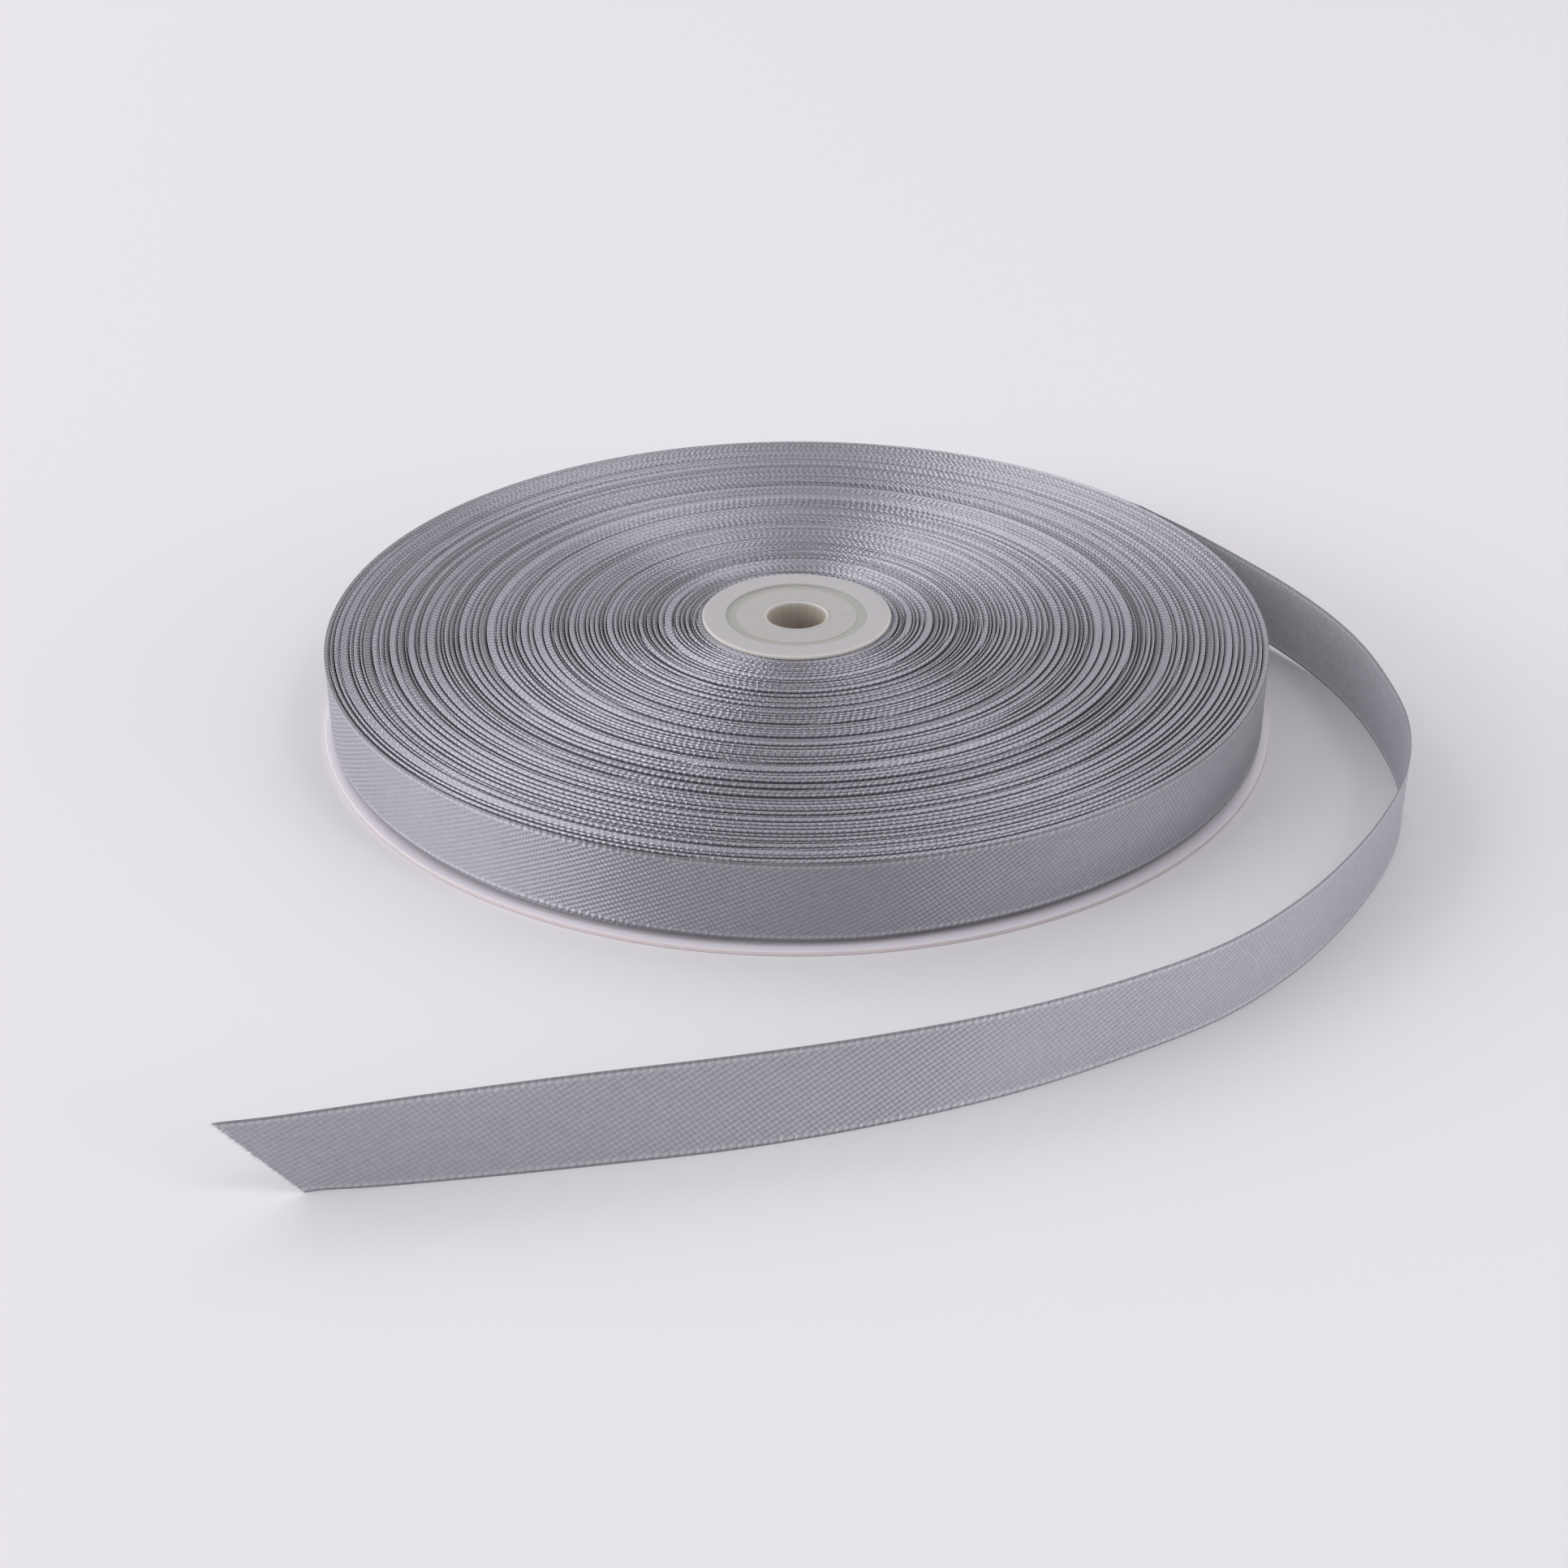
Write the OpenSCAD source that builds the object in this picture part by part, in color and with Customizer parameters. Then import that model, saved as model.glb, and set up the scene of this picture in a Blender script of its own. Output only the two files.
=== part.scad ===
// Reel of narrow satin ribbon: a two-part snap hub, one thin side disc under the winding, the wound
// ribbon and its free end. The reel lies flat on the disc, its axis is Z and the floor is z = 0.
// All sizes are millimetres.

/* [Ribbon] */
// Width of the ribbon
ribbon_w = 12.7; // [11:0.1:14]
// Outside diameter of the full winding
pack_d = 155; // [120:1:155]
// Height of the winding's lower edge above the floor
pack_lift = 2; // [2:0.1:2.6]
// Thickness of the free end's solid
tail_t = 0.4; // [0.2:0.1:0.6]
// How far the slanted end cut runs along the ribbon
end_cut = 9.8; // [0:0.1:12]

/* [Hub] */
// Diameter of the bore, which turns on a spindle
bore_d = 9.8; // [8:0.1:10.5]
// Diameter of the two flanges
flange_d = 31.2; // [27:0.1:40]
// Thickness of the upper flange
upper_flange_t = 0.6; // [0.4:0.1:1]
// Thickness of the lower flange, which stands on the floor
lower_flange_t = 0.95; // [0.6:0.05:0.95]
// Diameter of the barrel that carries the winding
barrel_d = 24; // [23:0.1:25]
// Depth of the recessed end plate below the upper flange
plate_recess = 0.3; // [0.1:0.1:0.4]
// Width of the chamfer at the bore's upper mouth
mouth_chamfer = 0.25; // [0.1:0.05:0.4]

/* [Side disc] */
// Diameter of the side disc
disc_d = 157; // [157:1:160]
// Thickness of the side disc
disc_t = 0.7; // [0.4:0.1:0.7]
// How far the disc sags from the hub to its rim
disc_sag = 1; // [0.5:0.1:1]

/* [Hidden] */

round_fn = 180;
overlap = 0.05;

// Winding
pack_r = pack_d / 2;
pack_inner_gap = 0.15;
pack_top = pack_lift + ribbon_w;

// Hub, shared by both halves
bore_r = bore_d / 2;
flange_r = flange_d / 2;
barrel_r = barrel_d / 2;
barrel_wall = 1.65;
barrel_in_r = barrel_r - barrel_wall;
tube_r = bore_r + 1.2;
half_gap = 0.1;
disc_gap = 0.05;

// Upper half, from the top down
flange_under = pack_top + 0.05;
hub_top = flange_under + upper_flange_t;
plate_top = hub_top - plate_recess;
plate_under = plate_top - 0.8;
ring_groove_r = [10.05, 11.75];
ring_groove_floor = hub_top - 0.4;
barrel_low = pack_lift - 0.25;
tube_split = 8;

// Snap joint between the halves
snap_z = 10.5;
snap_groove_depth = 0.2;
snap_bead = 0.15;
plug_clearance = 0.1;

// Lower half
plug_r = barrel_in_r - plug_clearance;
plug_in_r = plug_r - 1.5;
plug_top = 12.6;
rib_count = 6;
rib_t = 0.8;
rib_top = 7;
slot_count = 4;
slot_w = 1.2;
slot_floor = 7.6;

// Side disc, clamped flat round the hub and sagging from there to its rim
disc_r = disc_d / 2;
disc_hole_r = plug_r + 0.3;
disc_low = lower_flange_t + disc_gap;
disc_clamp_r = flange_r + 0.4;
sag_steps = 10;

// Tape that holds the ribbon's start on the barrel
tape_t = 0.08;
tape_angle = 95;
tape_margin = 1;

// Route of the free end's lower edge: x, y, height above the floor, lean of the band in degrees
// (positive leans its upper edge towards the reel). It leaves the winding on a tangent.
tail_route = [
    [62.9, 45.7, 2, 0],
    [70.5, 35.3, 1.8, 0],
    [77.4, 25.8, 1.2, 0],
    [83.6, 16.6, 0.4, -1],
    [88.5, 7, 0, -1],
    [92.1, -4.5, 0, -1],
    [94.2, -17, 0, 0],
    [94.6, -31, 0, 0],
    [92, -44.5, 0, 0],
    [86.8, -57, 0, 0],
    [79, -70, 0, 0],
    [69.5, -82.3, 0, 0],
    [58, -93.2, 0, 0],
    [44, -102.1, 0, 1],
    [28, -110.3, 0, 5],
    [11, -116.7, 0, 10],
    [-7, -121.7, 0, 14],
    [-25.4, -125.1, 0, 12],
    [-43, -127.9, 0, 6],
    [-61, -130.3, 0, -3],
    [-70, -131.8, 0, -4]
];
tail_steps = 3;
cut_rings = 9;

// Catmull-Rom point between b and c, at t from 0 to 1
function spline(a, b, c, d, t) =
    0.5 * (2 * b + (c - a) * t + (2 * a - 5 * b + 4 * c - d) * t * t
        + (3 * b - a - 3 * c + d) * t * t * t);

// The route's point i, with the ends carried on in a straight line
function route_point(i) =
    i < 0 ? 2 * tail_route[0] - tail_route[1]
    : i < len(tail_route) ? tail_route[i]
    : 2 * tail_route[i - 1] - tail_route[i - 2];

// The whole route, with tail_steps points from each named point to the next
tail_line = [
    for (i = [0:len(tail_route) - 2])
        for (k = [0:tail_steps - 1])
            spline(route_point(i - 1), route_point(i), route_point(i + 1), route_point(i + 2),
                k / tail_steps),
    tail_route[len(tail_route) - 1]
];
tail_last = len(tail_line) - 1;

// Unit direction of the route at point i, seen from above
function tail_dir(i) =
    let (step = tail_line[min(i + 1, tail_last)] - tail_line[max(i - 1, 0)],
        run = [step[0], step[1]])
    run / norm(run);

// How much of the end cut has been taken off the lower edge at point i
function cut_share(i) = max(0, 1 - (tail_last - i) / cut_rings);

// The four corners of the band at point i: lower inner, lower outer, upper outer, upper inner
function tail_ring(i) =
    let (p = tail_line[i],
        along = tail_dir(i),
        lean = p[3],
        inward = [along[1], -along[0], 0],
        up = inward * sin(lean) + [0, 0, cos(lean)],
        side = (inward * cos(lean) - [0, 0, sin(lean)]) * tail_t / 2,
        foot = [p[0], p[1], max(0, p[2]) + abs(side[2])],
        cut = -end_cut * cut_share(i) * [along[0], along[1], 0])
    [foot + cut + side, foot + cut - side, foot + up * ribbon_w - side, foot + up * ribbon_w + side];

module revolve(outline) {
    rotate_extrude($fn = round_fn) polygon(outline);
}

// Upper half of the hub: flange, recessed end plate, barrel and the upper stretch of the bore tube
module hub_upper() {
    groove_r = barrel_in_r + snap_groove_depth;
    color("whitesmoke") revolve([
        [bore_r, tube_split + half_gap],
        [tube_r, tube_split + half_gap],
        [tube_r, plate_under],
        [barrel_in_r, plate_under],
        [barrel_in_r, snap_z + 1.2],
        [groove_r, snap_z + 0.7],
        [groove_r, snap_z - 0.7],
        [barrel_in_r, snap_z - 1.2],
        [barrel_in_r, barrel_low],
        [barrel_r, barrel_low],
        [barrel_r, flange_under],
        [flange_r, flange_under],
        [flange_r, hub_top],
        [ring_groove_r[1], hub_top],
        [ring_groove_r[1], ring_groove_floor],
        [ring_groove_r[0], ring_groove_floor],
        [ring_groove_r[0], plate_top],
        [bore_r + mouth_chamfer, plate_top],
        [bore_r, plate_top - mouth_chamfer]
    ]);
}

// Lower half of the hub: flange, bore tube, and a slotted plug that snaps into the barrel
module hub_lower() {
    color("whitesmoke") {
        difference() {
            revolve([
                [plug_in_r, lower_flange_t - overlap],
                [plug_r, lower_flange_t - overlap],
                [plug_r, snap_z - 0.9],
                [plug_r + snap_bead, snap_z - 0.5],
                [plug_r + snap_bead, snap_z + 0.5],
                [plug_r, snap_z + 0.9],
                [plug_r - 0.4, plug_top],
                [plug_in_r, plug_top]
            ]);
            for (k = [0:slot_count - 1])
                rotate([0, 0, 45 + k * 360 / slot_count])
                    translate([plug_in_r - 1, -slot_w / 2, slot_floor])
                        cube([4, slot_w, plug_top]);
        }
        revolve([
            [bore_r, 0],
            [flange_r, 0],
            [flange_r, lower_flange_t],
            [tube_r, lower_flange_t],
            [tube_r, tube_split],
            [bore_r, tube_split]
        ]);
        for (k = [0:rib_count - 1])
            rotate([0, 0, k * 360 / rib_count])
                translate([tube_r - 0.3, -rib_t / 2, lower_flange_t - overlap])
                    cube([plug_in_r - tube_r + 0.6, rib_t, rib_top]);
    }
}

// Side disc: a thin sheet held between the barrel and the lower flange, free to turn
module base_disc() {
    sag_run = disc_r - disc_clamp_r;
    sheet = [
        for (k = [0:sag_steps])
            [disc_clamp_r + sag_run * k / sag_steps, disc_low - disc_sag * pow(k / sag_steps, 2)]
    ];
    color("ghostwhite") revolve(concat(
        [[disc_hole_r, disc_low]],
        sheet,
        [for (k = [sag_steps:-1:0]) sheet[k] + [0, disc_t]],
        [[disc_hole_r, disc_low + disc_t]]
    ));
}

// Tape tab on the barrel, under the first turn of ribbon
module start_tape() {
    inner_r = barrel_r + 0.02;
    color("lightyellow")
        rotate_extrude(angle = tape_angle, $fn = round_fn)
            translate([inner_r, pack_lift + tape_margin])
                square([tape_t, ribbon_w - 2 * tape_margin]);
}

// The wound ribbon as one plain ring
module ribbon_pack() {
    color("slategray")
        rotate_extrude($fn = round_fn)
            translate([barrel_r + pack_inner_gap, pack_lift])
                square([pack_r - barrel_r - pack_inner_gap, ribbon_w]);
}

// The free end: a band on edge along its route, with a slanted cut at the end
module ribbon_tail() {
    corners = [for (i = [0:tail_last]) each tail_ring(i)];
    sides = [
        for (i = [0:tail_last - 1])
            for (k = [0:3])
                [4 * i + k, 4 * i + (k + 1) % 4, 4 * i + 4 + (k + 1) % 4, 4 * i + 4 + k]
    ];
    ends = [[3, 2, 1, 0], [for (k = [0:3]) 4 * tail_last + k]];
    color("slategray") polyhedron(corners, concat(sides, ends), convexity = 4);
}

hub_upper();
hub_lower();
base_disc();
start_tape();
ribbon_pack();
ribbon_tail();
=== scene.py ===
import math
import random
from collections import namedtuple

import bpy
import numpy as np
from mathutils import Matrix, Vector


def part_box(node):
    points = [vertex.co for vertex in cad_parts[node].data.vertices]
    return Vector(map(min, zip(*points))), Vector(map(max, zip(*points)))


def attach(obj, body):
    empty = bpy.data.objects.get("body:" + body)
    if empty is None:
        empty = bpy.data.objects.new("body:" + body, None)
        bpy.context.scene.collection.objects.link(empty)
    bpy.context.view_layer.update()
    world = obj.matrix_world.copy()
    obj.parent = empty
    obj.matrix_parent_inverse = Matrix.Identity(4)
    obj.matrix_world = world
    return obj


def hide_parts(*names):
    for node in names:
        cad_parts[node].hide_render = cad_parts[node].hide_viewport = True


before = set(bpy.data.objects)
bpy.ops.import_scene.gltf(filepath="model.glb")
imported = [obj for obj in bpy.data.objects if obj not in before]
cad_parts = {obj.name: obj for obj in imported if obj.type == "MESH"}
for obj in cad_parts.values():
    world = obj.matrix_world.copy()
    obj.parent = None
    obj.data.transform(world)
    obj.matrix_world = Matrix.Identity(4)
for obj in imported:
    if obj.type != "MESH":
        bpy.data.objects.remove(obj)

# A reel of grey satin ribbon lying flat: a two-part white hub, a thin side disc under the winding,
# the winding turn by turn, and the free end on edge. Metres, in the CAD frame: the axis is Z.

MM = 0.001
FULL_TURN = 2 * math.pi
UP = np.array([0, 0, 1.0])
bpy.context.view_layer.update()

# ---------------------------------------------------------------- sizes from the frame
pack_low, pack_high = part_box("ribbon_pack")
hub_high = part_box("hub_upper")[1]
disc_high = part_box("base_disc")[1]

PACK_R = pack_high.x                # outside radius of the winding
PACK_Z = pack_low.z                 # its lower edge
RIBBON_W = pack_high.z - pack_low.z
FLANGE_R = hub_high.x
HUB_TOP = hub_high.z
DISC_R = disc_high.x

# ---------------------------------------------------------------- sizes from the CAD's source
# radii in millimetres
BORE = 4.9
TUBE = 6.1
PLUG_IN = 8.75
GROOVE_IN = 10.05                   # the ring groove round the end plate
PLUG = 10.25
BARREL_IN = 10.35
DISC_HOLE = 10.55
SNAP_GROOVE = 10.55
GROOVE_OUT = 11.75
BARREL = 12
FLANGE = 15.6
DISC_CLAMP = 16

# heights above the floor in millimetres
LOWER_FLANGE = 0.95
BARREL_LOW = 1.75
TUBE_SPLIT = 8
SNAP = 10.5
PLUG_TOP = 12.6
UNDER_PLATE = 14.25
UNDER_FLANGE = 14.75
GROOVE_FLOOR = 14.95
PLATE = 15.05
FLANGE_TOP = 15.35

BORE_R = BORE * MM
BARREL_R = BARREL * MM
PLATE_Z = HUB_TOP - 0.3 * MM

# ---------------------------------------------------------------- ribbon
RIBBON_T = 0.16 * MM                # thickness of the woven body
BRIM = 0.05 * MM                    # height over which a turn's edge thins to nothing
FIRST_TURN_R = BARREL_R + 0.25 * MM
TURNS = 324                         # turns inside the outermost one: 92 m of ribbon in all
STATIONS = 144                      # stations round each turn
LEAVE_ANGLE = math.radians(36)      # where the free end leaves the winding
SELVEDGE_W = 0.85 * MM
LOOP_PITCH = 1.06 * MM              # selvedge loops, one for every two picks
WEAVE_UV = "weave"                  # UV map in metres: along the ribbon and up it

# the weave's waves: how many per metre along the ribbon and up it
ROW = (0.63 / MM, 1.27 / MM)        # the satin's diagonals
BEAD = (-1.20 / MM, 0.86 / MM)      # the threads' floats on each diagonal
LOOP = (1 / LOOP_PITCH, 0.35 / MM)
PICK = (1.6 / LOOP_PITCH, 0)


# ================================================================ meshes
def new_object(name, mesh):
    obj = bpy.data.objects.new(name, mesh)
    bpy.context.scene.collection.objects.link(obj)
    return obj


def shell_faces(along, across, ring):
    """Point numbers at the face corners of one shell, and the number of corners of each face."""
    index = np.arange(along * across).reshape(along, across)
    here = index if ring else index[:-1]
    there = np.roll(index, -1, axis=0) if ring else index[1:]
    side = [here, np.roll(here, -1, axis=1), np.roll(there, -1, axis=1), there]
    corners = [np.stack(side, axis=-1).ravel()]
    sizes = [np.full(here.size, 4)]
    if not ring:
        corners += [index[0][::-1], index[-1]]
        sizes += [np.full(2, across)]
    return np.concatenate(corners), np.concatenate(sizes)


def grid_mesh(name, shells):
    """Mesh of closed shells, each (points[along][across], uv or None, ring).

    A shell's sections are closed across. They are joined end to end when ring is set, and capped at
    both ends when it is not.
    """
    places, corners, sizes, coords = [], [], [], []
    first = 0
    for points, uv, ring in shells:
        along, across = points.shape[:2]
        loops, counts = shell_faces(along, across, ring)
        places.append(points.reshape(-1, 3))
        corners.append(first + loops)
        sizes.append(counts)
        if uv is not None:
            coords.append(uv.reshape(-1, 2)[loops])
        first += along * across
    corners = np.concatenate(corners).astype(np.int32)
    sizes = np.concatenate(sizes)
    mesh = bpy.data.meshes.new(name)
    mesh.vertices.add(first)
    mesh.vertices.foreach_set("co", np.concatenate(places).astype(np.float32).ravel())
    mesh.loops.add(len(corners))
    mesh.loops.foreach_set("vertex_index", corners)
    mesh.polygons.add(len(sizes))
    mesh.polygons.foreach_set("loop_start", (np.cumsum(sizes) - sizes).astype(np.int32))
    mesh.polygons.foreach_set("use_smooth", np.ones(len(sizes), bool))
    mesh.update(calc_edges=True)
    if coords:
        layer = mesh.uv_layers.new(name=WEAVE_UV)
        layer.data.foreach_set("uv", np.concatenate(coords).astype(np.float32).ravel())
    mesh.validate()
    return mesh


def smooth(t):
    t = np.clip(t, 0, 1)
    return t * t * (3 - 2 * t)


# ================================================================ camera
CAMERA_AT = Vector((0, -364.4, 192.6)) * MM
CAMERA_AIM = Vector((-2.02, -29.8, 0)) * MM
CAMERA_ROLL = math.radians(-0.217)
LENS = 56.05                        # focal length in millimetres, on a sensor SENSOR wide
SENSOR = 36
CLIP = (0.01, 20)


def make_camera():
    data = bpy.data.cameras.new("camera")
    data.lens = LENS
    data.sensor_width = SENSOR
    data.clip_start, data.clip_end = CLIP
    camera = new_object("camera", data)
    camera.location = CAMERA_AT
    turn = (CAMERA_AIM - CAMERA_AT).to_track_quat("-Z", "Y").to_matrix()
    camera.rotation_euler = (turn @ Matrix.Rotation(CAMERA_ROLL, 3, "Z")).to_euler()
    bpy.context.scene.camera = camera


make_camera()


# ================================================================ node helpers
class Nodes:
    """Builds one material's node tree with short calls."""

    def __init__(self, name):
        self.material = bpy.data.materials.new(name)
        self.material.use_nodes = True
        self.tree = self.material.node_tree
        self.shader = self.tree.nodes["Principled BSDF"]

    def add(self, kind, **settings):
        node = self.tree.nodes.new(kind)
        for key, value in settings.items():
            setattr(node, key, value)
        return node

    def put(self, socket, value):
        if isinstance(value, bpy.types.NodeSocket):
            self.tree.links.new(value, socket)
        else:
            socket.default_value = value

    def math(self, operation, a, b=0.0, c=0.0):
        node = self.add("ShaderNodeMath", operation=operation)
        for socket, value in zip(node.inputs, (a, b, c)):
            self.put(socket, value)
        return node.outputs[0]

    def times(self, a, b):
        return self.math("MULTIPLY", a, b)

    def scale_add(self, a, factor, extra):
        return self.math("MULTIPLY_ADD", a, factor, extra)

    def invert(self, value):
        return self.math("SUBTRACT", 1.0, value)

    def total(self, *values):
        result = values[0]
        for value in values[1:]:
            result = self.math("ADD", result, value)
        return result

    def vector(self, operation, a, b=(0, 0, 0), scale=None):
        node = self.add("ShaderNodeVectorMath", operation=operation)
        self.put(node.inputs[0], a)
        self.put(node.inputs[1], b)
        if scale is not None:
            self.put(node.inputs["Scale"], scale)
        return node.outputs["Value"] if operation == "LENGTH" else node.outputs[0]

    def split(self, vector):
        node = self.add("ShaderNodeSeparateXYZ")
        self.put(node.inputs[0], vector)
        return node.outputs

    def place(self):
        return self.add("ShaderNodeTexCoord").outputs["Object"]

    def radius(self, place):
        """Distance from the reel's axis."""
        return self.vector("LENGTH", self.vector("MULTIPLY", place, (1, 1, 0)))

    def noise(self, vector, scale, detail):
        node = self.add("ShaderNodeTexNoise")
        self.put(node.inputs["Vector"], vector)
        self.put(node.inputs["Scale"], scale)
        self.put(node.inputs["Detail"], detail)
        return node.outputs["Fac"]

    def blend(self, share, a, b):
        node = self.add("ShaderNodeMix", data_type="RGBA")
        self.put(node.inputs["Factor"], share)
        self.put(node.inputs["A"], a)
        self.put(node.inputs["B"], b)
        return node.outputs["Result"]

    def band(self, value, low, high):
        """0 below low, 1 above high, smooth between."""
        node = self.add("ShaderNodeMapRange", interpolation_type="SMOOTHSTEP")
        for socket, v in zip(node.inputs, (value, low, high, 0.0, 1.0)):
            self.put(socket, v)
        return node.outputs[0]

    def phase(self, along, up, per_along, per_up):
        """Phase in radians of a plane wave over the ribbon, with so many waves per metre each way."""
        return self.scale_add(up, FULL_TURN * per_up, self.times(along, FULL_TURN * per_along))

    def set(self, **values):
        for key, value in values.items():
            self.put(self.shader.inputs[key.replace("_", " ")], value)


def paint(obj, material):
    obj.data.materials.clear()
    obj.data.materials.append(material)


# ================================================================ satin
ROW_TILT = (0.24, 0.28)             # slope of the diagonals along the ribbon and up it
BEAD_TILT = (-0.16, 0.08)
LOOP_TILT = 0.2
SLACK_SCALE = 30.0                  # noise scale of the cloth's slackness
YARN_SCALE = 1100.0                 # noise scale of the yarn's unevenness

# painted shade on sunk turns and down between the turns of the winding
DEPTH_SHADE = (0.075, 0.072, 0.09, 1)      # deep between the turns
LOOP_GAP = (0.17, 0.17, 0.19, 1)
# painted shade along both edges of the free end
FREE_EDGE_SHADE = (0.17, 0.165, 0.19, 1)
LOOP_CREST = (0.56, 0.55, 0.59, 1)

# low and high are the colours of the grooves and the crests (the grooves partly darkened as painted shade),
# loops and gaps how much of LOOP_CREST and LOOP_GAP the selvedge takes, waviness how far slack cloth tilts,
# and through how much light comes through
Satin = namedtuple("Satin", "low high loops gaps waviness metallic roughness through")
# The winding's colours are paler than the free end's, though it is one ribbon: painted light on the turns'
# top edges.
WOUND = Satin(
    low=(0.54, 0.53, 0.59, 1), high=(0.78, 0.77, 0.84, 1), loops=0.0, gaps=0.5,
    waviness=0.03, metallic=0.84, roughness=0.5, through=0.0)
LOOSE = Satin(
    low=(0.308, 0.305, 0.341, 1), high=(0.468, 0.465, 0.510, 1), loops=0.75, gaps=0.35,
    waviness=0.5, metallic=0.65, roughness=0.47, through=1.0)


class Weave:
    """The ribbon's pattern as node sockets: its waves, and where its body and its selvedge lie."""

    def __init__(self, n):
        along, up = n.split(n.add("ShaderNodeUVMap", uv_map=WEAVE_UV).outputs[0])[:2]
        self.row = n.phase(along, up, *ROW)
        self.bead = n.phase(along, up, *BEAD)
        self.loop = n.phase(along, up, *LOOP)
        self.pick = n.phase(along, up, *PICK)
        self.to_edge = n.math("MINIMUM", up, n.math("SUBTRACT", RIBBON_W, up))
        self.body = n.band(self.to_edge, SELVEDGE_W * 0.8, SELVEDGE_W * 1.15)
        self.edge = n.invert(self.body)
        self.place = n.place()
        self.slack = n.math("SUBTRACT", n.noise(self.place, SLACK_SCALE, 1.0), 0.5)


def satin_normal(n, weave, waviness):
    """(normal, tangent), the normal tilted by the floats, the selvedge's loops and the cloth's slackness."""
    row = n.times(n.math("SINE", weave.row), weave.body)
    bead = n.times(n.math("SINE", weave.bead), weave.body)
    picks = n.times(n.math("SINE", weave.pick), 0.5)
    loop = n.times(n.math("ADD", n.math("SINE", weave.loop), picks), weave.edge)
    tilt_along = n.total(
        n.times(row, ROW_TILT[0]),
        n.times(bead, BEAD_TILT[0]),
        n.times(loop, LOOP_TILT),
        n.times(weave.slack, waviness))
    tilt_up = n.total(n.times(row, ROW_TILT[1]), n.times(bead, BEAD_TILT[1]))
    normal = n.add("ShaderNodeNewGeometry").outputs["Normal"]
    tangent = n.add("ShaderNodeTangent", direction_type="UV_MAP", uv_map=WEAVE_UV).outputs[0]
    across = n.vector("CROSS_PRODUCT", tangent, normal)
    tilted = n.vector("ADD", normal, n.vector("SCALE", tangent, scale=tilt_along))
    tilted = n.vector("ADD", tilted, n.vector("SCALE", across, scale=tilt_up))
    return n.vector("NORMALIZE", tilted), tangent


def weave_and_groove_shade(n, weave):
    """About 0 in the grooves between the floats and 1 on their crests, uneven as yarn is: partly the weave's
    pattern, partly painted shade in the grooves.
    """
    strength = n.scale_add(weave.slack, 4.0, 1.0)
    crest = n.times(n.math("COSINE", weave.row), n.times(weave.body, strength))
    bump = n.times(n.math("COSINE", weave.bead), weave.body)
    yarn = n.math("SUBTRACT", n.noise(weave.place, YARN_SCALE, 2.0), 0.5)
    return n.total(0.5, n.times(crest, 0.24), n.times(bump, 0.10), n.times(yarn, 0.5))


def satin_colour(n, weave, satin):
    """Floats paler than the grooves, which carry partly painted shade, and the selvedge's loops with dark
    gaps between them.
    """
    colour = n.blend(weave_and_groove_shade(n, weave), satin.low, satin.high)
    colour = n.blend(n.times(weave.edge, satin.loops), colour, LOOP_CREST)
    gap = n.math("POWER", n.scale_add(n.math("COSINE", weave.loop), 0.5, 0.5), 3.0)
    return n.blend(n.times(n.times(weave.edge, gap), satin.gaps), colour, LOOP_GAP)


def paint_depth_shade(n, weave, colour):
    """Wound ribbon shows its edge alone. Painted shade makes it darker where a turn is sunk, and down between
    the turns.
    """
    top = PACK_Z + RIBBON_W
    height = n.split(weave.place)[2]
    sunk_shade = n.invert(n.band(height, top - 0.4 * MM, top + 0.05 * MM))
    deep_shade = n.band(weave.to_edge, 0.12 * MM, 0.4 * MM)
    colour = n.blend(n.times(sunk_shade, 0.58), colour, DEPTH_SHADE)
    return n.blend(n.times(deep_shade, 0.8), colour, DEPTH_SHADE)


def paint_edge_shade(n, weave, colour):
    """A dark line of painted shade along both edges of the free end."""
    rim = n.invert(n.band(weave.to_edge, 0.25 * MM, 0.5 * MM))
    return n.blend(n.times(rim, 0.7), colour, FREE_EDGE_SHADE)


def ribbon_material(name, satin, add_painted_shade):
    """Polyester satin: floats on diagonals that shine across the warp, and a looped selvedge."""
    n = Nodes(name)
    weave = Weave(n)
    normal, tangent = satin_normal(n, weave, satin.waviness)
    # the function passed in lays painted shade over the satin's colour
    n.set(
        Base_Color=add_painted_shade(n, weave, satin_colour(n, weave, satin)),
        Metallic=satin.metallic, Roughness=satin.roughness, Normal=normal, Tangent=tangent,
        Anisotropic=1.0, Anisotropic_Rotation=0.25,
        Subsurface_Weight=satin.through, Subsurface_Radius=(1, 1, 1), Subsurface_Scale=1 * MM)
    return n.material


# ================================================================ plastics
HUB_PLATE = ((0.400, 0.386, 0.382, 1), (0.430, 0.415, 0.410, 1))
HUB_GROOVE = (0.375, 0.372, 0.350, 1)
HUB_FLANGE = ((0.425, 0.410, 0.430, 1), (0.455, 0.440, 0.460, 1))
# painted cream highlight on the flange's rim and round the bore's lip
HUB_RIM_HIGHLIGHT = (0.60, 0.575, 0.545, 1)
# painted shade deep in the bore, warm in tint
HUB_BORE_SHADE = (0.46, 0.41, 0.36, 1)
DISC_SHEET = ((0.79, 0.75, 0.82, 1), (0.85, 0.81, 0.88, 1))
# painted shade, pinkish brown, on the disc's cut edge
DISC_EDGE_SHADE = (0.64, 0.57, 0.57, 1)
THREAD_GREYS = ((0.34, 0.34, 0.37, 1), (0.60, 0.60, 0.63, 1))
TAPE_CREAMS = ((0.66, 0.62, 0.50, 1), (0.72, 0.68, 0.56, 1))
PLASTIC_IOR = 1.49
GRAIN_DEPTH = 0.02 * MM

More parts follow.
